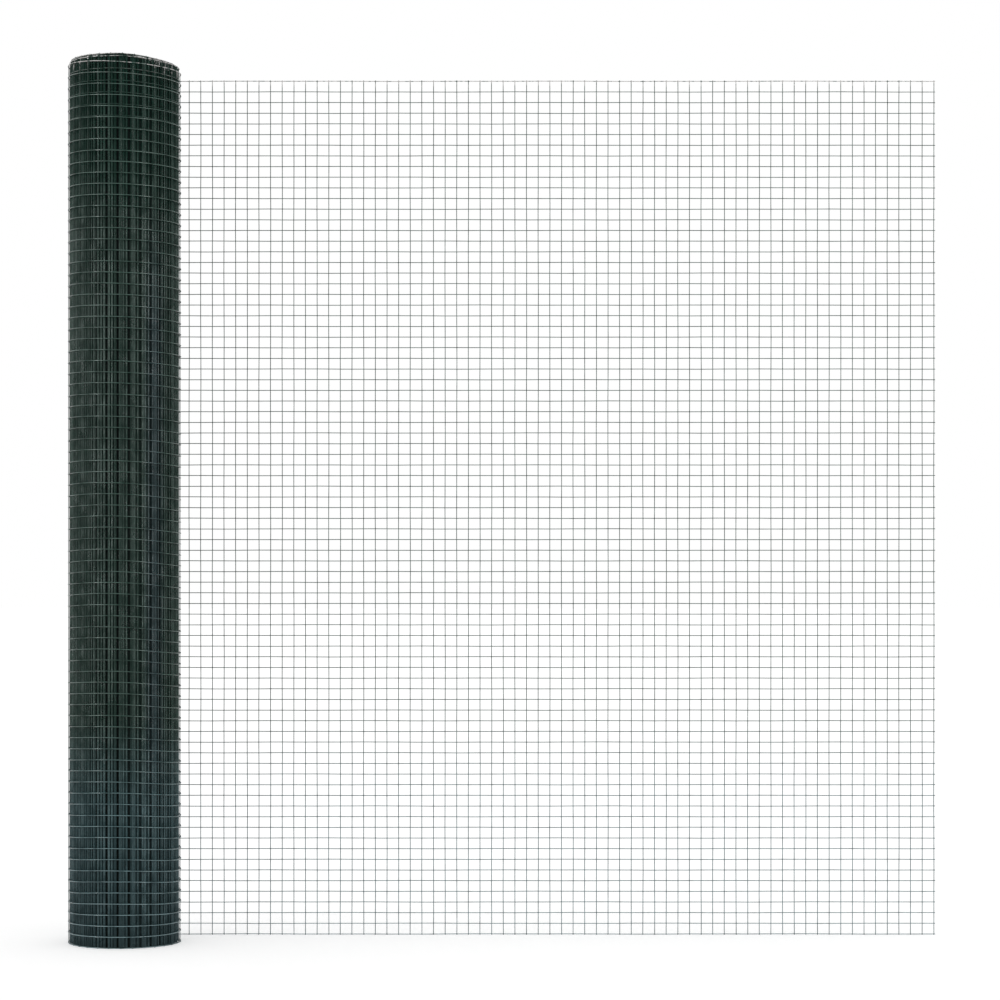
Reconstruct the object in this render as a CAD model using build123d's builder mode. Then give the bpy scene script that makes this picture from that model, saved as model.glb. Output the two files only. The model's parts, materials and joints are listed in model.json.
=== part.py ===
"""Roll of welded wire mesh standing on its end, with a flat run of it paid out from the back.

Millimetres, +Z up. The origin is on the axis of the bore, at the end that the roll stands on.
The run leaves the back of the roll along +X, and its line wires lie in the plane of the roll's
outermost line wires. Wires are square bars, laid in two layers and fused where they cross.
"""

from build123d import *
import os

os.makedirs("parts", exist_ok=True)

# The mesh
mesh_width = 1000.0  # height of the standing roll, over the stubs of the upright wires
wire = 0.9  # one wire over its plastic coat
stub = 0.4  # what the upright wires stand past the first and the last line wire
cut_stub = 1.2  # what the line wires stand past the run's last upright wire, where the mesh is cut
line_count = 81  # line wires, which run along the mesh and round the roll
cell_width = 13.62  # from one upright wire to the next

# The roll
roll_radius = 64.7  # from the axis to the outermost line wires, at the back
turn_count = 13  # turns of mesh from the outside to the bore
turn_gap = 0.3  # air between one turn and the next
turn_rises = [3.0, 7.5, 10.5]  # what the second, the third and the further turns stand above the first
groove_depth = 4.0  # how deep the gaps between the turns show in the two ends

# The run that is paid out flat
upright_count = 69  # upright wires in the run
first_upright = 12.5  # from the axis to the run's first upright wire, along the run
panel_columns = 4  # panels along the run
panel_rows = 4  # panels up the run

turn_pitch = 2 * wire + turn_gap
bore_radius = roll_radius - turn_count * turn_pitch
first_line = stub + wire / 2
cell_height = (mesh_width - 2 * first_line) / (line_count - 1)
line_layer = roll_radius - wire / 2
upright_layer = line_layer - wire

upright_places = [first_upright + i * cell_width for i in range(upright_count)]
line_places = [first_line + i * cell_height for i in range(line_count)]
run_end = upright_places[-1] + wire / 2 + cut_stub


def spiral_arcs(radius, turns):
    """Draw a spiral inward from the back, from half turns about two centres half a pitch apart."""
    for turn in range(turns):
        turn_radius = radius - turn * turn_pitch
        CenterArc((0, 0), turn_radius, 90, 180)
        CenterArc((0, -turn_pitch / 2), turn_radius - turn_pitch / 2, 270, 180)


def split_evenly(places, parts):
    """Share a list of places out over a number of panels, in order."""
    count = len(places)
    return [places[count * i // parts : count * (i + 1) // parts] for i in range(parts)]


def panel_spans(groups, start, end):
    """Give each panel its two edges: the ends of the mesh, or half way between two wires."""
    edges = [(low[-1] + high[0]) / 2 for low, high in zip(groups, groups[1:])]
    return list(zip([start] + edges, edges + [end]))


# The wound roll: one solid with its bore, and a step where the run leaves the outer turn
with BuildPart() as mesh_roll:
    with BuildSketch():
        with BuildLine():
            spiral_arcs(roll_radius, 1)
            Line((0, roll_radius - turn_pitch), (0, roll_radius))
        make_face()
        Circle(bore_radius, mode=Mode.SUBTRACT)
    extrude(amount=mesh_width)
    # The turns slipped as they were wound, so the inner ones stand proud at the top, in three steps
    level = mesh_width
    for turn, rise in enumerate(turn_rises, 1):
        turn_radius = roll_radius - turn * turn_pitch
        with BuildSketch(Plane.XY.offset(level)):
            with BuildLine():
                spiral_arcs(turn_radius, 1)
                Line((0, turn_radius - turn_pitch), (0, turn_radius))
            make_face()
            Circle(bore_radius, mode=Mode.SUBTRACT)
        extrude(amount=mesh_width + rise - level)
        level = mesh_width + rise
    # The layer of upright wires is mostly air, so it shows in each end as a spiral groove
    groove_outside = roll_radius - wire
    groove_inside = roll_radius - turn_pitch
    groove_turns = turn_count - 1
    groove_end = groove_turns * turn_pitch
    top_groove = mesh_width - groove_depth
    for floor, end in ((0, groove_depth), (top_groove, level)):
        with BuildSketch(Plane.XY.offset(floor)):
            with BuildLine():
                spiral_arcs(groove_outside, groove_turns)
                Line((0, groove_outside - groove_end), (0, groove_inside - groove_end))
                spiral_arcs(groove_inside, groove_turns)
                Line((0, groove_inside), (0, groove_outside))
            make_face()
        extrude(amount=end - floor, mode=Mode.SUBTRACT)
mesh_roll.part.label = "mesh_roll"
export_step(mesh_roll.part, "parts/mesh_roll.step")

# The flat run: panels that meet face to face half way between two wires
upright_groups = split_evenly(upright_places, panel_columns)
line_groups = split_evenly(line_places, panel_rows)
column_spans = panel_spans(upright_groups, 0, run_end)
row_spans = panel_spans(line_groups, 0, mesh_width)

for column, (uprights, (left, right)) in enumerate(zip(upright_groups, column_spans), 1):
    for row, (lines, (bottom, top)) in enumerate(zip(line_groups, row_spans), 1):
        with BuildPart() as run_panel:
            # Line wires, along the run, in the outer layer
            with BuildSketch(Plane.YZ.offset(left)):
                with Locations([(line_layer, height) for height in lines]):
                    Rectangle(wire, wire)
            extrude(amount=right - left)
            # Upright wires, in the inner layer, welded to the line wires that they cross
            with BuildSketch(Plane.XY.offset(bottom)):
                with Locations([(place, upright_layer) for place in uprights]):
                    Rectangle(wire, wire)
            extrude(amount=top - bottom)
        name = f"run_panel_column{column}_row{row}"
        run_panel.part.label = name
        export_step(run_panel.part, f"parts/{name}.step", write_pcurves=False)

print("turn pitch", turn_pitch, "bore radius", bore_radius, "cell height", round(cell_height, 3))
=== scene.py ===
# %% [markdown]
# A roll of welded wire mesh stands on its end, and a flat run of the same mesh leaves it at the
# back. The mesh is thin steel wire in a dark green coat: 81 line wires run along it and round the
# roll, upright wires cross them, and every crossing is welded. This lesson builds that mesh as real
# wires. The frame, made beforehand as solids, says where everything stands, so it is loaded first.

# %% Load the frame
import json
import math
import bpy
import numpy as np
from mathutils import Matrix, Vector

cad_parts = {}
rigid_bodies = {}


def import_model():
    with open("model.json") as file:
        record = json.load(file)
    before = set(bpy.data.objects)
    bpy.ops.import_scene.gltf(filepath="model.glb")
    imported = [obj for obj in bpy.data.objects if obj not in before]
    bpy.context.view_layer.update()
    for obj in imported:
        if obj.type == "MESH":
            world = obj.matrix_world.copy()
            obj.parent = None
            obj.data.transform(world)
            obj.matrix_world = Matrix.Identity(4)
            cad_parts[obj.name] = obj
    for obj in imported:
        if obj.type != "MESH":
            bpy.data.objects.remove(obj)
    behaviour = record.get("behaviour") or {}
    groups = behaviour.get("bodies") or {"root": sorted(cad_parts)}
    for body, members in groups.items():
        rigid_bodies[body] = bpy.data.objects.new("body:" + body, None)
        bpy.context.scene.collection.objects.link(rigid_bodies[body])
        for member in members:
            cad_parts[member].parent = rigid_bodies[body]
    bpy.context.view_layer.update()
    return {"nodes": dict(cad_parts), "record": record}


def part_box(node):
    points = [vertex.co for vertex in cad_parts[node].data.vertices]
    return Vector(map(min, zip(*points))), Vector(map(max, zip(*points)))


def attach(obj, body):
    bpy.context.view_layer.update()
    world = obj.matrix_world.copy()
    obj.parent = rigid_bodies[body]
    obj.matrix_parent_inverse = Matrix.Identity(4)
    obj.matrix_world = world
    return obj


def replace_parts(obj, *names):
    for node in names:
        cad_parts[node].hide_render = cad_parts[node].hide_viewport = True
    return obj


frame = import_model()
print("nodes in the frame:", len(frame["nodes"]))

# %% [markdown]
# The sizes come from the frame. The flat run is two wires thick, so its depth gives the wire.
# The roll is drawn with half turns about two centres, half a pitch apart, so the right side of its
# outer turn lies nearer to the axis than the left side, by half a pitch: that gives the pitch.

# %% Read the sizes from the frame
panels = sorted(name for name in frame["nodes"] if name.startswith("run_panel"))
panel_boxes = [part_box(name) for name in panels]
run_low = np.min([low for low, high in panel_boxes], axis=0)
run_high = np.max([high for low, high in panel_boxes], axis=0)
roll_low, roll_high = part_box("mesh_roll")
bore = next(mount for mount in frame["record"]["mounts"] if mount["name"] == "bore")

wire = (run_high[1] - run_low[1]) / 2
mesh_width = run_high[2]
run_end = run_high[0]
roll_radius = roll_high[1]
turn_pitch = -2 * (roll_low[0] + roll_high[0])
bore_radius = bore["dims"]["r_mm"] / 1000
turn_count = round((roll_radius - bore_radius) / turn_pitch)
print("wire", round(wire, 5), "pitch", round(turn_pitch, 5), "turns", turn_count)

# %% [markdown]
# The mesh itself is a plain rule: wires at even steps, with short stubs past the last ones. It is
# kept as numbers, because every wire and every weld follows from it.

# %% The rule of the mesh
line_count = 81  # line wires, which run along the mesh
run_uprights = 69  # upright wires in the flat run
cell_width = 0.01362  # from one upright wire to the next
stub = 0.0004  # what the upright wires stand past the first and the last line wire
cut_stub = 0.0012  # what the line wires stand past the last upright wire, where the mesh is cut
steel_share = 0.7  # diameter of the steel in a wire, as a share of the coated wire
weld_bite = 0.00008  # how far the two layers are pressed into each other by the welding

first_line = stub + wire / 2
cell_height = (mesh_width - 2 * first_line) / (line_count - 1)
first_upright = run_end - cut_stub - wire / 2 - (run_uprights - 1) * cell_width
line_depth = wire / 2
upright_depth = 1.5 * wire - weld_bite
print("cell", round(cell_width, 5), "by", round(cell_height, 5))
print("first upright at", round(first_upright, 5))

# %% [markdown]
# A wound sheet is easiest to think of as flat. Each point of the mesh has a length along it, which
# is negative in the flat run and positive in the roll, and a depth below the sheet's outer face.
# A function then bends that strip: the run stays straight, and the roll follows the half turns.
# A spiral formula with a shrinking radius would also do, but arcs match the solid exactly. Real
# turns are not quite round: at the right they stand off a little, where the winding is loose, and
# the ones below the outermost press outward at both sides.

# %% Bend the strip into a spiral
loose_side = 0.0011  # how far the outer turns stand off at the right, where the winding is loose
loose_turns = 8  # turns over which that fades inward
pressed = 0.00072  # how far a turn is pressed outward at both sides, at most
pressed_turns = (0.25, 2.25, 9)  # the turns where that begins, is at its most, and ends
half_turns = np.arange(2 * turn_count)
half_radii = roll_radius - half_turns * turn_pitch / 2
half_centres = -turn_pitch / 2 * (half_turns % 2)
half_lengths = math.pi * (half_radii - line_depth)
half_starts = np.concatenate([[0], np.cumsum(half_lengths)])


def along_mesh(length, depth):
    """Places of the mesh seen from above, at lengths along it and depths below its outer face.

    Half turn k is an arc about (0, c_k). With a the angle, which starts at the back and grows
    evenly with the length, and r = r_k - depth + (loose at the right + pressed at both sides)
    cos^2 a: x = r cos a, and y = c_k + r sin a. A negative length is in the flat run: x = -length,
    and y = r_0 - depth.
    Gives the places, the directions that point out of the roll, and the turns from the back.
    """
    wound = np.maximum(length, 0)
    half = np.clip(np.searchsorted(half_starts, wound, side="right") - 1, 0, len(half_turns) - 1)
    halves = half + (wound - half_starts[half]) / half_lengths[half]
    angle = math.pi * (0.5 + halves)
    outward = np.stack([np.cos(angle), np.sin(angle), np.zeros_like(angle)], axis=-1)
    right = np.where(np.cos(angle) > 0, np.clip(1 - halves / 2 / loose_turns, 0, 1), 0)
    shift = loose_side * right + np.interp(halves / 2, pressed_turns, [0, pressed, 0])
    place = outward * (half_radii[half] - depth + shift * np.cos(angle) ** 2)[..., None]
    place[..., 0] -= np.minimum(length, 0)
    place[..., 1] += half_centres[half]
    return place, outward, halves / 2


print("length wound up:", round(half_starts[-1], 3), "m, and paid out:", round(run_end, 3), "m")

# %% [markdown]
# No real roll is wound perfectly. Here the inner turns slipped upward at the top, so they stand
# proud of the outermost one, less so toward the right. The turns stand a little higher at the left
# than at the right, and the line wires bow down at both sides of the lower half. A height shift
# that depends on the turn, the side and the height says all of that. In each pair of numbers below,
# the first says where a change begins, and the second how far it takes to be complete.

# %% Let the turns slip
top_rise = 0.0104  # how far the inner turns stand above the outermost one
rise_turns = (0.35, 1.8)
side_sag = 0.62  # share of that rise that is lost toward the right
sag_sides = (-0.05, 1.25)  # in radii from the axis to the right
uneven_tops = 0.0014  # how far the tops of the inner turns differ from each other
uneven_turns = (3, 2)
uneven_rate = 2.4  # radians a turn
side_lean = 0.0020  # how much higher the turns stand at the left, and lower at the right
lean_heights = (0, 0.3)  # as shares of the height, like the other heights in this cell
top_lean = 0.0020  # what comes to that lean near the top
top_power = 20  # how much the rise and the lean keep to the top: higher is nearer
side_bow = 0.0045  # how far the line wires bow down at both sides, in the lower half
bow_heights = (0, 0.07)
bow_end_heights = (0.75, -0.35)  # above the first the line wires are level again


def smooth_step(value, start, span):
    """From 0 at start to 1 a span later without a kink: 3 s^2 - 2 s^3, with s the share of it."""
    share = np.clip((value - start) / span, 0, 1)
    return share * share * (3 - 2 * share)


def slip(turns, x, height):
    """Height shift of a place in the roll, from the turns outside it, its x and its even height.

    With s the side, from -1 at the left to 1 at the right, h the share of the height, t = h^20 and
    i the smooth step from the outermost turn, 0, to the inner ones, 1, it is
    t (rise i - uneven) (1 - sag S) - (lean L + top lean t) (1 - i t) s - bow B s^2.
    S is a smooth step to the right, L one up the height, B one up and then one down again, and
    uneven a sine of the turns. In the flat run it is 0, because i and s are.
    """
    side = np.where(turns > 0, x / roll_radius, 0)
    share = height / mesh_width
    near_top = share**top_power
    inner = smooth_step(turns, *rise_turns)
    wavy = 0.5 + 0.5 * np.sin(uneven_rate * turns)
    uneven = uneven_tops * smooth_step(turns, *uneven_turns) * wavy
    rise = (top_rise * inner - uneven) * (1 - side_sag * smooth_step(side, *sag_sides))
    lean = side_lean * smooth_step(share, *lean_heights) + top_lean * near_top
    bow = side_bow * smooth_step(share, *bow_heights) * smooth_step(share, *bow_end_heights)
    return near_top * rise - lean * (1 - inner * near_top) * side - bow * side**2


print("highest shift:", round(float(slip(2.6, -0.03, mesh_width)) * 1000, 2), "mm")

# %% [markdown]
# Drawn wire keeps a memory of its coil, so each wire also waves by a tenth of a millimetre or so.
# Three sines with a phase of each wire's own look natural, cost nothing, and come out the same
# every time, because the phases come from a seeded generator.

# %% Let the wires wave
chance = np.random.default_rng(27)
wave_lengths = np.array([0.31, 0.13, 0.047])
wave_heights = np.array([0.00012, 0.00008, 0.00004])
roll_uprights = int((half_starts[-1] - cut_stub - wire / 2 + first_upright) / cell_width)
line_phases = chance.uniform(0, 2 * math.pi, (line_count, 3))
upright_phases = chance.uniform(0, 2 * math.pi, (run_uprights + roll_uprights, 3))


def waves(phases, along):
    """Sum over three wavelengths of height * sin(2 pi along / wavelength + the wire's phase)."""
    turn = 2 * math.pi * along[..., None] / wave_lengths + phases[:, None, :]
    return (wave_heights * np.sin(turn)).sum(axis=-1)


upright_numbers = np.arange(1 - run_uprights, roll_uprights + 1)
upright_lengths = upright_numbers * cell_width - first_upright
mesh_end = upright_lengths[-1] + wire / 2 + cut_stub
print("upright wires in all:", len(upright_lengths))

# %% [markdown]
# No two wires look quite the same. A tone for each wire says how light it comes out, at random
# within a range, and the ranges are painted light and shade: the line wires lie in the outer layer
# and catch the light, so they are painted light, and the upright wires of the roll lie behind them,
# so they are painted dark.
# Handling rubs the coat off the top edge, and a number for wear says how far: the last line wire
# most, then the tips of the upright wires, and both more at the sides, where the roll is gripped.
# Numbers on the points are easier to steer than noise alone, and the finish reads them as it likes.

# %% Give each wire a tone and some wear
top_tone = 2.4  # the lightest, and 0 is the darkest
# Painted light: the line wires get the lightest tones, because they catch the light.
line_tones_and_painted_light = chance.uniform(1.6, top_tone, line_count)
# Painted shade: line wires that another turn covers keep only this share of their tone.
covered_painted_shade = 0.25  # share of its tone that a line wire keeps where another turn covers it
# Painted shade: the roll's upright wires get dark tones, as they lie behind the line wires.
upright_tones_and_painted_light = chance.uniform(0, 0.6, run_uprights + roll_uprights)
# Painted light: the run's upright wires are lifted, because nothing in front shades them.
upright_tones_and_painted_light[:run_uprights] += 1.0  # nothing stands in front of the run's
line_wear = np.zeros(line_count)
line_wear[-2:] = (0.12, 1.0)
middle_wear = 0.9  # share of a line wire's wear that is there in the middle too
worn_tip = 0.010  # how far the upright wires are worn, down from their tips
tip_wear = 1.6  # over 1, because it fades from the tip down
wear_sides = (0.35, 0.45)  # in radii: where side wear begins, and the span over which it grows


def side_wear(places):
    """0 in the middle of the roll and 1 at its sides, with a smooth step of |x| between."""
    return smooth_step(np.abs(places[..., 0]) / roll_radius, *wear_sides)


print("line wires with wear:", np.count_nonzero(line_wear))

# %% [markdown]
# Every wire is a tube: rings of points round its centre line. A curve with a bevel would do the
# same, but slowly for so many wires. All the wires of a bundle have the same number of rings, so
# one array holds them all, as wire, ring, point of the ring, and x, y, z. A cut end shows the steel
# inside the coat, so there the last ring is repeated at the steel's size, and the flat polygon
# inside it gets the steel finish. Ends that meet another piece are just closed.

# %% Carry a ring along many wires at once
COAT = 0
STEEL = 1
# Finish number of the near black painted shade.
SHADE = 2


def tube_faces(wires, rings, sides):
    """Corner numbers of the tubes' side faces, and of their first and last rings as polygons."""
    index = np.arange(wires * rings * sides).reshape(wires, rings, sides)
    ahead = np.roll(index, -1, axis=2)
    side_faces = np.stack([index[:, :-1], ahead[:, :-1], ahead[:, 1:], index[:, 1:]], axis=-1)
    return side_faces.reshape(-1, 4), index[:, 0, ::-1], index[:, -1]


def tubes(centres, outward, upward, sides, cut_ends, tones, wear=0):
    """Round wires along centre lines given as wire, ring, xyz.

    A point of a ring is centre + r (cos t outward + sin t upward), with t going once round.
    cut_ends says for the start and the end whether the wire is cut there and shows its steel.
    Tones are given for each wire, and wear for each wire or each ring.
    """
    wear = np.broadcast_to(wear, centres.shape[:2])
    upward = np.broadcast_to(upward, outward.shape)
    rings = np.arange(centres.shape[1])
    radii = np.full(len(rings), wire / 2)
    if cut_ends[0]:
        rings = np.insert(rings, 0, 0)
        radii = np.insert(radii, 0, steel_share * wire / 2)
    if cut_ends[1]:
        rings = np.append(rings, rings[-1])
        radii = np.append(radii, steel_share * wire / 2)
    centres, outward, upward, wear = (a[:, rings] for a in (centres, outward, upward, wear))
    turn = np.linspace(0, 2 * math.pi, sides, endpoint=False)[:, None]
    ring = np.cos(turn) * outward[:, :, None, :] + np.sin(turn) * upward[:, :, None, :]
    points = centres[:, :, None, :] + radii[:, None, None] * ring
    side_faces, first, last = tube_faces(*points.shape[:3])
    return {
        "points": points.reshape(-1, 3),
        "tones": np.repeat(tones, points.shape[1] * sides),
        "wear": np.repeat(wear.ravel(), sides),
        "faces": [
            (side_faces, COAT, True),
            (first, STEEL if cut_ends[0] else COAT, False),
            (last, STEEL if cut_ends[1] else COAT, False),
        ],
    }


print("steel in a wire:", round(steel_share * wire * 1000, 2), "mm across")

# %% [markdown]
# Line wires lie in the outer layer. Between two upright wires the mesh resists bending, so a wound
# line wire is a little flatter there than the arc: it dips inward by a fifth of a millimetre half
# way. That is why the highlights on such a roll come in short bright dashes, one to a cell.

# %% Line wires
facet_dip = 0.0002  # how far a wound line wire dips inward half way between two upright wires


def stations(start, end, per_cell):
    """Lengths along the mesh from start to end, with per_cell steps between two upright wires."""
    step = cell_width / per_cell
    first = math.floor((start + first_upright) / step) + 1
    last = math.ceil((end + first_upright) / step) - 1
    inner = np.arange(first, last + 1) * step - first_upright
    return np.concatenate([[start], inner, [end]])


def line_wires(start, end, rows, per_cell, sides, cut_ends):
    """The line wires numbered in rows, over one stretch of the mesh, as tubes."""
    lengths = stations(start, end, per_cell)
    share = (lengths + first_upright) / cell_width % 1
    dip = np.where(lengths > 0, facet_dip * 4 * share * (1 - share), 0)
    place, outward, turns = along_mesh(lengths, line_depth + dip)
    heights = (first_line + rows * cell_height)[:, None]
    centres = np.repeat(place[None], len(rows), axis=0)
    centres[..., 2] = heights + slip(turns, place[:, 0], heights)
    centres[..., 2] += waves(line_phases[rows], np.broadcast_to(lengths, centres.shape[:2]))
    outward = np.repeat(outward[None], len(rows), axis=0)
    # Painted shade: from the second turn in, the line wires are darker, as the turn outside covers
    # them.
    tones = line_tones_and_painted_light[rows] * (covered_painted_shade if start >= half_starts[2] else 1)
    wear = line_wear[rows, None] * (middle_wear + side_wear(place))
    return tubes(centres, outward, (0, 0, -1), sides, cut_ends, tones, wear)


print("a wound line wire dips by", facet_dip * 1000, "mm in each cell")

# %% [markdown]
# Upright wires lie in the inner layer and stand from end to end of the roll. They stay almost
# straight, so few rings are enough, and the height shift is already that of the turns. One more
# ring stands where the worn tip begins, so that the wear fades over the tip and no further.

# %% Upright wires


def upright_centres(lengths, phases, heights, depth):
    """Centre lines of upright wires at lengths along the mesh, at each height, and their waves."""
    sway = waves(phases, np.broadcast_to(heights, (len(lengths), len(heights))))
    place, outward, turns = along_mesh(lengths[:, None] + sway, np.full(sway.shape, depth))
    place[..., 2] = heights + slip(turns, place[..., 0], heights)
    return place, outward


def upright_wires(picked, rings, sides):
    """The upright wires at picked, as tubes from one cut end to the other."""
    heights = np.insert(np.linspace(0, mesh_width, rings), -1, mesh_width - worn_tip)
    lengths, phases = upright_lengths[picked], upright_phases[picked]
    centres, outward = upright_centres(lengths, phases, heights, upright_depth)
    sideways = np.cross((0, 0, 1), outward)
    wear = np.where(heights == mesh_width, tip_wear * side_wear(centres), 0)
    return tubes(centres, outward, sideways, sides, (True, True), upright_tones_and_painted_light[picked], wear)


print("an upright wire's tip is worn over", worn_tip * 1000, "mm")

# %% [markdown]
# At each crossing the coat runs together into a small bead over the weld. Thousands of them are
# needed, so each is only 14 points: two rings of six between two poles, squeezed along the roll's
# radius.

# %% Weld beads
bead_width = 0.74  # half width of a bead, as a share of the wire
bead_depth = 0.58  # half depth of a bead, along the roll's radius, as such a share too
bead_sides = 6
bead_tilt = math.radians(35)  # latitude of the two rings


def weld_beads(rows, picked):
    """Beads where the line wires at rows cross the upright wires at picked.

    With latitude b and longitude t, a point is centre + depth sin b outward
    + width cos b (cos t upward + sin t sideways), at b of plus and minus the tilt and both poles.
    """
    heights = first_line + rows * cell_height
    lengths, phases = upright_lengths[picked], upright_phases[picked]
    centres, outward = upright_centres(lengths, phases, heights, upright_depth)
    lengths = np.broadcast_to(lengths, (len(rows), len(picked)))
    centres[..., 2] += waves(line_phases[rows], lengths).T
    centres = (centres + (upright_depth - wire) * outward).reshape(-1, 1, 3)
    outward = outward.reshape(-1, 1, 3)
    sideways = np.cross((0, 0, 1), outward)
    turn = np.linspace(0, 2 * math.pi, bead_sides, endpoint=False)[:, None]
    ring = np.cos(turn) * np.array([0, 0, 1]) + np.sin(turn) * -sideways
    out = bead_depth * wire * outward
    wide = bead_width * wire * math.cos(bead_tilt) * ring
    rings = [centres - out, centres - math.sin(bead_tilt) * out + wide]
    rings += [centres + math.sin(bead_tilt) * out + wide, centres + out]
    points = np.concatenate(rings, axis=1)
    each = 2 * bead_sides + 2
    start = np.arange(len(points))[:, None, None] * each
    low = 1 + np.arange(bead_sides)
    low_ahead = 1 + (np.arange(bead_sides) + 1) % bead_sides
    high = low + bead_sides
    high_ahead = low_ahead + bead_sides
    sides = np.stack([low, low_ahead, high_ahead, high], axis=-1)
    under = np.stack([np.zeros_like(low), low_ahead, low], axis=-1)
    over = np.stack([np.full_like(low, each - 1), high, high_ahead], axis=-1)
    return {
        "points": points.reshape(-1, 3),
        "tones": np.repeat(np.repeat(upright_tones_and_painted_light[picked], len(rows)), each),
        "wear": np.repeat(np.tile(line_wear[rows], len(picked)), each),
        "faces": [
            ((start + sides).reshape(-1, 4), COAT, True),
            ((start + under).reshape(-1, 3), COAT, True),
            ((start + over).reshape(-1, 3), COAT, True),
        ],
    }


print("a bead is", round(2 * bead_width * wire * 1000, 2), "mm wide")

# %% [markdown]
# Deep in the roll nothing shows but the ends of the turns. There the mesh between the first and the
# last line wire is drawn as one closed band, in the layer of the upright wires, so that no light
# comes through the pack. The band is near black, as painted shade for the wires deep in the pack.
# In front of the first band stand the upright wires that show from the turns behind: in a tight
# roll they bunch behind each other, with a dark gap between one bunch and the next, where the
# band's painted shade shows. Whole turns all the way in would add some 300,000 triangles that
# hardly show.

# %% Bands and bunched wires for the turns deep in the roll
open_turns = 2  # outermost turns with all of their line wires, and no band
band_share = 0.8  # thickness of a band, as a share of the wire
band_opening = 0.014  # how far the band ends below the last line wire, at both sides of the roll
bunch_step = 0.0129  # from one bunch to the next, along the mesh
bunch_start = 0.0066  # from the front to the nearest bunch, along the mesh
bunch_share = 0.84  # share of that step that a bunch takes up
bunch_jitter = 0.0002  # how unevenly its wires stand
bunch_pairs = 3  # pairs of wires in the front of a bunch
pair_half = 0.04  # from the middle of a pair to its wires, as a share of the bunch
bunch_behind = 9  # wires in the back of a bunch
bunch_rings = 6

pair_middles = (np.arange(bunch_pairs) + 0.5) / bunch_pairs - 0.5
front_steps = (pair_middles[:, None] + np.array([-pair_half, pair_half])).ravel()
back_steps = (np.arange(bunch_behind) + 0.5) / bunch_behind - 0.5
front_tones = (0.1, 1.5)
# Painted shade: the wires at the back of a bunch get dark tones, as those in front shade them.
back_tones_and_painted_shade = (0, 0.4)


def wire_band(start, end, per_cell):
    """A closed band that follows the spiral: a section of four corners, carried along the mesh."""
    lengths = stations(start, end, per_cell)
    low, high = first_line, mesh_width - first_line
    edges = []
    for side, height in ((-1, low), (1, low), (1, high), (-1, high)):
        depth = np.full(lengths.shape, upright_depth + side * band_share * wire / 2)
        place, outward, turns = along_mesh(lengths, depth)
        opening = band_opening * (place[:, 0] / roll_radius) ** 2 if height == high else 0
        place[:, 2] = height + slip(turns, place[:, 0], height) - opening
        edges.append(place)
    points = np.stack(edges, axis=1)
    side_faces, first, last = tube_faces(1, *points.shape[:2])
    return {
        "points": points.reshape(-1, 3),
        "tones": np.zeros(points.shape[0] * points.shape[1]),
        "wear": np.zeros(points.shape[0] * points.shape[1]),
        # The band's faces get the near black finish, which paints the shade of the pack.
        "faces": [(side_faces, SHADE, False), (first, SHADE, False), (last, SHADE, False)],
    }


def bunched_wires(turn, depth, steps, tones, sides):
    """Upright wires all round one turn, in bunches, at steps from each bunch's middle.

    The bunches are counted from the front of the first turn that has them, and those of the next
    turn stand behind them, at the same bearings.
    """
    front = half_starts[2 * open_turns - 1]
    reach = int((front - half_starts[2 * open_turns - 2]) / bunch_step)
    middles = front + bunch_start + np.arange(-reach, reach) * bunch_step
    numbers = np.arange(len(half_starts))
    halves = np.interp(middles, half_starts, numbers) + 2 * (turn - open_turns + 1)
    middles = np.interp(halves, numbers, half_starts)
    lengths = (middles[:, None] + np.asarray(steps) * bunch_share * bunch_step).ravel()
    lengths += chance.normal(0, bunch_jitter, len(lengths))
    phases = chance.uniform(0, 2 * math.pi, (len(lengths), 3))
    heights = np.linspace(2 * first_line, mesh_width - 2 * first_line, bunch_rings)
    centres, outward = upright_centres(lengths, phases, heights, depth)
    sideways = np.cross((0, 0, 1), outward)
    tones = chance.uniform(*tones, len(lengths))
    return tubes(centres, outward, sideways, sides, (False, False), tones)


print("wires in a bunch:", len(front_steps), "in front and", len(back_steps), "behind")

# %% [markdown]
# A mesh object takes flat arrays: points, corner numbers and where each face starts. Bundles are
# put together by adding the number of points before them to their corner numbers. Tone and wear go
# along as attributes of the points, where the finish can read them.

# %% Turn bundles into one object
attributes = {"wire_tone_and_painted_light": "tones", "wire_wear": "wear"}


def make_piece(name, bundles, finishes):
    """One object from bundles of points and faces, at the origin, with its finishes in order."""
    points = np.concatenate([bundle["points"] for bundle in bundles])
    starts = np.cumsum([0] + [len(bundle["points"]) for bundle in bundles])
    groups = [
        (faces + start, finish, smooth)
        for bundle, start in zip(bundles, starts)
        for faces, finish, smooth in bundle["faces"]
    ]
    face_groups, finish_numbers, smoothing = zip(*groups)
    counts = [len(faces) for faces in face_groups]
    corners = np.concatenate([faces.ravel() for faces in face_groups])
    sizes = np.repeat([faces.shape[1] for faces in face_groups], counts)
    mesh = bpy.data.meshes.new(name)
    mesh.vertices.add(len(points))
    mesh.vertices.foreach_set("co", points.astype(np.float32).ravel())
    mesh.loops.add(len(corners))
    mesh.loops.foreach_set("vertex_index", corners.astype(np.int32))
    mesh.polygons.add(len(sizes))
    mesh.polygons.foreach_set("loop_start", (np.cumsum(sizes) - sizes).astype(np.int32))
    finish_numbers = np.repeat(finish_numbers, counts).astype(np.int32)
    mesh.polygons.foreach_set("material_index", finish_numbers)
    mesh.polygons.foreach_set("use_smooth", np.repeat(smoothing, counts))
    for label, part in attributes.items():
        attribute = mesh.attributes.new(label, "FLOAT", "POINT")
        values = np.concatenate([bundle[part] for bundle in bundles])
        attribute.data.foreach_set("value", values.astype(np.float32))
    mesh.update(calc_edges=True)
    for finish in finishes:
        mesh.materials.append(finish)
    piece = bpy.data.objects.new(name, mesh)
    bpy.context.scene.collection.objects.link(piece)
    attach(piece, "root")
    print(name, "triangles", int((sizes - 2).sum()))
    return piece


print("attributes on the points:", ", ".join(attributes))

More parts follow.
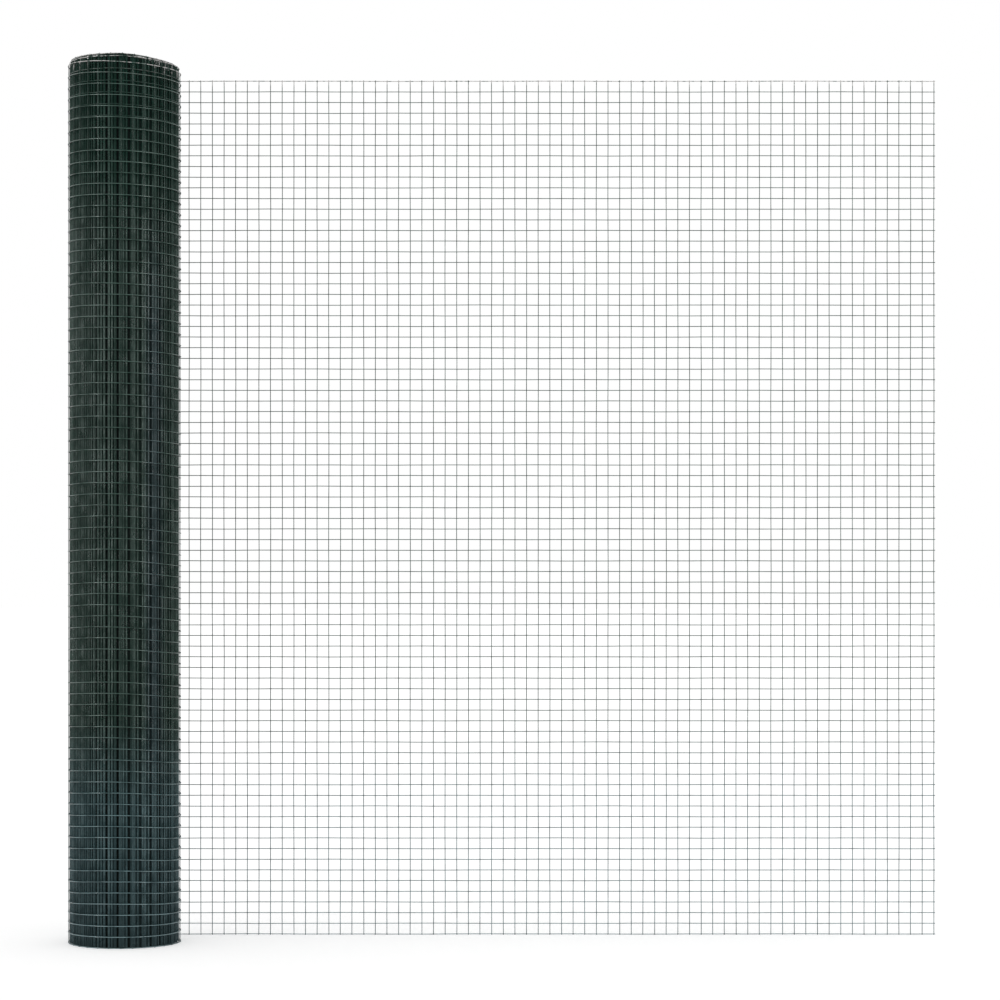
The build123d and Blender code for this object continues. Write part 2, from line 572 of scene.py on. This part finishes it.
# %% [markdown]
# A finish is a small graph of nodes, and the same few nodes come back in all of them. Each helper
# below takes sockets and gives the socket that comes out, so a finish reads from top to bottom.
# Noise is read from Object coordinates, in metres: it stays put on the wire, and needs no
# unwrapping.

# %% Small helpers for node finishes


def new_finish(name):
    """A material, its node tree, its Principled shader and the socket of its Object coordinates."""
    finish = bpy.data.materials.new(name)
    finish.use_nodes = True
    tree = finish.node_tree
    place = tree.nodes.new("ShaderNodeTexCoord").outputs["Object"]
    return finish, tree, tree.nodes["Principled BSDF"], place


def noise(tree, place, scale, detail=3.0):
    """A Noise texture over places, with scale features in a metre."""
    node = tree.nodes.new("ShaderNodeTexNoise")
    node.inputs["Scale"].default_value = scale
    node.inputs["Detail"].default_value = detail
    tree.links.new(place, node.inputs["Vector"])
    return node.outputs["Fac"]


def remap(tree, source, low, high, from_low=0.0, from_high=1.0):
    """A Map Range node: from_low becomes low, from_high becomes high, and it stays within them."""
    node = tree.nodes.new("ShaderNodeMapRange")
    node.inputs["From Min"].default_value = from_low
    node.inputs["From Max"].default_value = from_high
    node.inputs["To Min"].default_value = low
    node.inputs["To Max"].default_value = high
    tree.links.new(source, node.inputs["Value"])
    return node.outputs[0]


def combine(tree, operation, first, second):
    """A Math node on two sockets."""
    node = tree.nodes.new("ShaderNodeMath")
    node.operation = operation
    tree.links.new(first, node.inputs[0])
    tree.links.new(second, node.inputs[1])
    return node.outputs[0]


def mix_colour(tree, share, first, second):
    """A Mix node, by the socket share. first and second are each a colour or a socket."""
    node = tree.nodes.new("ShaderNodeMix")
    node.data_type = "RGBA"
    tree.links.new(share, node.inputs[0])
    for value, socket in ((first, node.inputs[6]), (second, node.inputs[7])):
        if isinstance(value, bpy.types.NodeSocket):
            tree.links.new(value, socket)
        else:
            socket.default_value = value
    return node.outputs[2]


def point_value(tree, name):
    """An Attribute node that reads a number of the points."""
    node = tree.nodes.new("ShaderNodeAttribute")
    node.attribute_name = name
    return node.outputs["Fac"]


def seen_directly(tree):
    """1 for what the camera sees, also in mirrors and through glass, and 0 for bounced light."""
    rays = tree.nodes.new("ShaderNodeLightPath").outputs
    seen = combine(tree, "MAXIMUM", rays["Is Camera Ray"], rays["Is Transmission Ray"])
    return combine(tree, "MAXIMUM", seen, rays["Is Glossy Ray"])


print("a finish reads:", ", ".join(attributes))

# %% [markdown]
# The coat is soft plastic, fused onto galvanized wire: very dark green and satin. Its colour is not
# the same everywhere. A strip to the right of the front is bluer, and toward the floor the roll
# gets bluer and lighter; the lighter part is painted light, standing in for a low lamp on the foot
# of the roll. One colour all over would do for a new roll, but it looks like a drawing.
# Ranges of the Object coordinates blend one colour into the next.

# %% Colour of the coat
coat_green = (0.007, 0.036, 0.025, 1)
coat_blue = (0.010, 0.036, 0.039, 1)
strip_from = 0.032  # where the bluer strip begins and ends, to the right of the axis
strip_to = 0.047
strip_edge = 0.004  # half the width over which it fades at both sides
strip_fade = (0.70, 0.84)  # heights between which it fades out
# Painted light: the two lower colours are bluer and also lighter, standing in for a low lamp.
coat_low_painted_light = (0.045, 0.092, 0.100, 1)
low_painted_light_fade = (0.16, 0.26)
coat_foot_painted_light = (0.072, 0.122, 0.132, 1)
foot_painted_light_fade = (0, 0.13)
painted_light_cover = 0.9  # how much the two lower colours cover what is under them


def coat_colour(tree, place):
    """The coat's colour: green, then the bluer strip, then two lower colours painted lighter."""
    parts = tree.nodes.new("ShaderNodeSeparateXYZ")
    tree.links.new(place, parts.inputs["Vector"])
    side, height = parts.outputs["X"], parts.outputs["Z"]
    strip_in = remap(tree, side, 0, 1, strip_from - strip_edge, strip_from + strip_edge)
    strip_out = remap(tree, side, 1, 0, strip_to - strip_edge, strip_to + strip_edge)
    strip_below = remap(tree, height, 1, 0, *strip_fade)
    strip = combine(tree, "MULTIPLY", combine(tree, "MULTIPLY", strip_in, strip_out), strip_below)
    colour = mix_colour(tree, strip, coat_green, coat_blue)
    colour = mix_colour(tree, remap(tree, height, painted_light_cover, 0, *low_painted_light_fade), colour, coat_low_painted_light)
    return mix_colour(tree, remap(tree, height, painted_light_cover, 0, *foot_painted_light_fade), colour, coat_foot_painted_light)


print("lower colours end at heights", low_painted_light_fade[1], "and", foot_painted_light_fade[1], "m")

# %% [markdown]
# Most of what the eye gets from so dark a coat is its gloss, so a wire's tone, which carries the
# painted light and shade, changes its specular level as well as its brightness. Patches a
# centimetre or so long break that up along the wire. Over it come specks of dust, the zinc where
# the coat is worn off, and a fine orange peel, which is far too small for geometry and so is bump.

# %% Green coat
patch_scale, patch_spread, patch_gain = 75.0, (0.35, 0.65), (0.35, 1.6)
coat_values = (0.55, 1.35)  # brightness of the colour, from the darkest tone to the lightest
coat_shines = (0.15, 1.0)  # specular level, from the darkest tone to the lightest
dust_scale, dust_spread, dust_cover = 700.0, (0.58, 0.8), 0.35
coat_dust = (0.11, 0.12, 0.115, 1)
scuff_scale, scuff_spread = 220.0, (0.42, 0.56)
zinc = (0.38, 0.37, 0.36, 1)
gloss_scale, gloss_spread, coat_roughness = 60.0, (0.3, 0.7), (0.22, 0.42)
peel_scale, peel_strength, peel_height = 2600.0, 0.25, 0.00005
plastic_ior = 1.5


def green_coat():
    """Satin plastic, with each wire's tone of painted light, patches, dust, worn spots and orange
    peel.
    """
    finish, tree, shader, place = new_finish("green_coat")
    patches = remap(tree, noise(tree, place, patch_scale), *patch_gain, *patch_spread)
    # The tone carries painted light and shade into the colour's brightness and the specular level.
    tone = combine(tree, "MULTIPLY", point_value(tree, "wire_tone_and_painted_light"), patches)
    toned = tree.nodes.new("ShaderNodeHueSaturation")
    tree.links.new(coat_colour(tree, place), toned.inputs["Color"])
    tree.links.new(remap(tree, tone, *coat_values, 0, top_tone), toned.inputs["Value"])
    shine = remap(tree, tone, *coat_shines, 0, top_tone)
    tree.links.new(shine, shader.inputs["Specular IOR Level"])
    specks = remap(tree, noise(tree, place, dust_scale, 4.0), 0, dust_cover, *dust_spread)
    dusty = mix_colour(tree, specks, toned.outputs["Color"], coat_dust)
    scuffs = remap(tree, noise(tree, place, scuff_scale), 0, 1, *scuff_spread)
    worn = combine(tree, "MULTIPLY", point_value(tree, "wire_wear"), scuffs)
    tree.links.new(mix_colour(tree, worn, dusty, zinc), shader.inputs["Base Color"])
    gloss = noise(tree, place, gloss_scale)
    roughness = remap(tree, gloss, *coat_roughness, *gloss_spread)
    tree.links.new(roughness, shader.inputs["Roughness"])
    bump = tree.nodes.new("ShaderNodeBump")
    bump.inputs["Strength"].default_value = peel_strength
    bump.inputs["Distance"].default_value = peel_height
    tree.links.new(noise(tree, place, peel_scale, 2.0), bump.inputs["Height"])
    tree.links.new(bump.outputs["Normal"], shader.inputs["Normal"])
    shader.inputs["IOR"].default_value = plastic_ior
    return finish


coat = green_coat()
print("finish:", coat.name)

# %% [markdown]
# Two more finishes go with the coat. Where a wire was snipped its steel is bright, with drag marks
# of the cutter. And deep in the pack so little light comes back that the mesh looks near black:
# the bands there get that look by a near black colour, since bounces between thousands of hidden
# wires would cost far more and show the same.

# %% Cut steel and the coat's painted shade
mark_scale = 4000.0
steel_colours = ((0.45, 0.45, 0.46, 1), (0.72, 0.71, 0.7, 1))
steel_roughness = (0.22, 0.45)
streak_scale = 900.0
streak_squeeze = 0.02  # scale along the height, which draws the noise out into upright streaks
# Painted shade: near black colours stand for the mesh deep in the pack, where little light gets in.
painted_shade_colours = ((0.002, 0.003, 0.003, 1), (0.008, 0.012, 0.011, 1))


def cut_steel():
    """The wire's steel where it was snipped: bright, with drag marks of the cutter across it."""
    finish, tree, shader, place = new_finish("cut_steel")
    marks = noise(tree, place, mark_scale, 2.0)
    tree.links.new(mix_colour(tree, marks, *steel_colours), shader.inputs["Base Color"])
    tree.links.new(remap(tree, marks, *steel_roughness), shader.inputs["Roughness"])
    shader.inputs["Metallic"].default_value = 1.0
    return finish


def painted_shade_coat():
    """Painted shade for the coat deep in the pack: near black and matt, in upright streaks."""
    finish, tree, shader, place = new_finish("painted_shade_coat")
    squeeze = tree.nodes.new("ShaderNodeMapping")
    squeeze.inputs["Scale"].default_value = (1, 1, streak_squeeze)
    tree.links.new(place, squeeze.inputs["Vector"])
    streaks = noise(tree, squeeze.outputs["Vector"], streak_scale, 2.0)
    tree.links.new(mix_colour(tree, streaks, *painted_shade_colours), shader.inputs["Base Color"])
    shader.inputs["Roughness"].default_value = 0.9
    shader.inputs["Specular IOR Level"].default_value = 0.05
    return finish


steel = cut_steel()
shade = painted_shade_coat()
print("finishes:", steel.name, shade.name)

# %% [markdown]
# The flat run is made first: line wires, upright wires and beads, each as a piece of its own.
# They take the place of the run's sixteen panels in the frame. One straight step to a cell is
# enough for a line wire here, and more sides make its thin highlight smooth.

# %% The flat run
all_rows = np.arange(line_count)
in_run = np.flatnonzero(upright_lengths < 0)
run_sides = 8
run_rings = 41

run_line_tubes = line_wires(-run_end, 0, all_rows, 1, run_sides, (True, False))
run_upright_tubes = upright_wires(in_run, run_rings, run_sides)
run_lines = make_piece("run_line_wires", [run_line_tubes], [coat, steel])
run_stand = make_piece("run_upright_wires", [run_upright_tubes], [coat, steel])
run_welds = make_piece("run_weld_beads", [weld_beads(all_rows, in_run)], [coat])
for piece in (run_lines, run_stand, run_welds):
    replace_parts(piece, *panels)

# %% [markdown]
# The roll is made turn by turn. The two outermost turns show every wire, so they have all of them,
# with beads on the crossings. Deeper turns have all their upright wires, but of the line wires only
# the first and the last, with a band between them. The innermost turn, which lines the bore, is
# whole again.

# %% The wound turns
beaded_turns = 2  # outermost turns with beads on their crossings
outer_detail = (4, 6)  # steps to a cell and sides of a tube in the beaded turns
inner_detail = (2, 5)
roll_rings = 11  # rings of an upright wire
end_rows = all_rows[[0, -1]]

for turn in range(turn_count):
    start = half_starts[2 * turn]
    innermost = turn == turn_count - 1
    end = mesh_end if innermost else half_starts[2 * turn + 2]
    whole = turn < open_turns or innermost
    per_cell, sides = outer_detail if turn < beaded_turns else inner_detail
    rows = all_rows if whole else end_rows
    picked = np.flatnonzero((upright_lengths >= start) & (upright_lengths < end))
    bundles = [
        line_wires(start, end, rows, per_cell, sides, (False, innermost)),
        upright_wires(picked, roll_rings, sides),
    ]
    if turn < beaded_turns:
        bundles.append(weld_beads(rows, picked))
    if not whole:
        bundles.append(wire_band(start, end, per_cell))
    if turn == open_turns:
        bundles.append(bunched_wires(turn - 1, upright_depth, front_steps, front_tones, sides))
        bundles.append(bunched_wires(turn, line_depth, back_steps, back_tones_and_painted_shade, sides))
    finishes = [coat, steel] if whole else [coat, steel, shade]
    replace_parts(make_piece(f"roll_turn_{turn + 1:02d}", bundles, finishes), "mesh_roll")

# %% [markdown]
# The floor is plain and pale, and carries the object's soft shadow. For the camera it also gives
# off a little light of its own, so that away from the shadow it is as white as the backdrop.

# %% Floor
floor_size = 60.0
floor_glow = 0.42
floor_colours = ((0.86, 0.86, 0.86, 1), (0.88, 0.88, 0.88, 1))


def pale_floor():
    """A large plane of matt white, with some glow that only shows and lights nothing."""
    finish, tree, shader, place = new_finish("pale_floor")
    shader.inputs["Roughness"].default_value = 0.9
    shader.inputs["Specular IOR Level"].default_value = 0.0
    grain = noise(tree, place, 3.0)
    tree.links.new(mix_colour(tree, grain, *floor_colours), shader.inputs["Base Color"])
    shader.inputs["Emission Color"].default_value = (1, 1, 1, 1)
    glow = remap(tree, seen_directly(tree), 0, floor_glow)
    tree.links.new(glow, shader.inputs["Emission Strength"])
    half = floor_size / 2
    corners = [(-half, -half, 0), (half, -half, 0), (half, half, 0), (-half, half, 0)]
    mesh = bpy.data.meshes.new("floor")
    mesh.from_pydata(corners, [], [(0, 1, 2, 3)])
    mesh.materials.append(finish)
    floor = bpy.data.objects.new("floor", mesh)
    bpy.context.scene.collection.objects.link(floor)
    return floor


print("stage:", pale_floor().name)

# %% [markdown]
# The light is a white room, at a level where a colour renders about as it is written, and two tall
# soft boxes in front, left and right. The boxes give the round wires their bright dashes. In a
# studio they are screened off from the floor, which they would burn so white that thin wires in
# front of it vanish. Light linking does that here: the boxes light only a collection's objects.

# %% Light
room_level = 0.75
box_size = (0.6, 1.5)
box_distance = 2.2
box_height = 0.85


def white_room():
    """A world that lights at room_level and looks pure white to the camera and in reflections."""
    world = bpy.data.worlds.new("white_room")
    world.use_nodes = True
    bpy.context.scene.world = world
    tree = world.node_tree
    back = tree.nodes["Background"]
    back.inputs["Color"].default_value = (1, 1, 1, 1)
    level = remap(tree, seen_directly(tree), room_level, 1.0)
    tree.links.new(level, back.inputs["Strength"])


def soft_box(name, bearing, watts, lit):
    """An area lamp that faces the roll's middle, from a bearing to the right of straight ahead.

    It lights the objects of the collection lit, and nothing else.
    """
    lamp = bpy.data.lights.new(name, "AREA")
    lamp.shape = "RECTANGLE"
    lamp.size, lamp.size_y = box_size
    lamp.energy = watts
    stand = bpy.data.objects.new(name, lamp)
    angle = math.radians(bearing)
    side, front = box_distance * math.sin(angle), -box_distance * math.cos(angle)
    stand.location = (side, front, box_height)
    aim = math.atan2(box_height - mesh_width / 2, box_distance)
    stand.rotation_euler = (math.pi / 2 - aim, 0, angle)
    stand.light_linking.receiver_collection = lit
    bpy.context.scene.collection.objects.link(stand)


white_room()
mesh_only = bpy.data.collections.new("mesh_only")
for thing in bpy.data.objects:
    if thing.type == "MESH" and thing.name.startswith(("run_", "roll_")):
        mesh_only.objects.link(thing)
soft_box("soft_box_right", 48.0, 21.0, mesh_only)
soft_box("soft_box_left", -50.0, 27.5, mesh_only)

# %% [markdown]
# The camera stands level in front of the run, well to the right of the roll. The roll's front and
# the run behind it differ in size on the picture by 4 in 100, and 128 mm of depth lie between them,
# which gives the distance. The lens follows from the size of the run on the picture. A shift of the
# lens, not a tilt of the camera, moves the picture up, so upright wires stay upright.

# %% Camera
picture = 1000  # pixels, each way
roll_pixel = 124.7  # where the axis of the roll stands, from the left
horizon_pixel = 572.6  # where a level line through the lens meets the picture, from the top
camera_distance = 3.229
focal_pixels = 2812.7
camera_height = 0.4239

lens = bpy.data.cameras.new("camera")
lens.sensor_width = 36.0
lens.lens = lens.sensor_width * focal_pixels / picture
lens.shift_y = (horizon_pixel - picture / 2) / picture
camera = bpy.data.objects.new("camera", lens)
camera_side = (picture / 2 - roll_pixel) * camera_distance / focal_pixels
camera.location = (camera_side, -camera_distance, camera_height)
camera.rotation_euler = (math.pi / 2, 0, 0)
bpy.context.scene.collection.objects.link(camera)
bpy.context.scene.camera = camera
bpy.context.scene.view_settings.view_transform = "Standard"
print("lens", round(lens.lens, 1), "mm, camera", round(camera_side, 3), "m to the right")
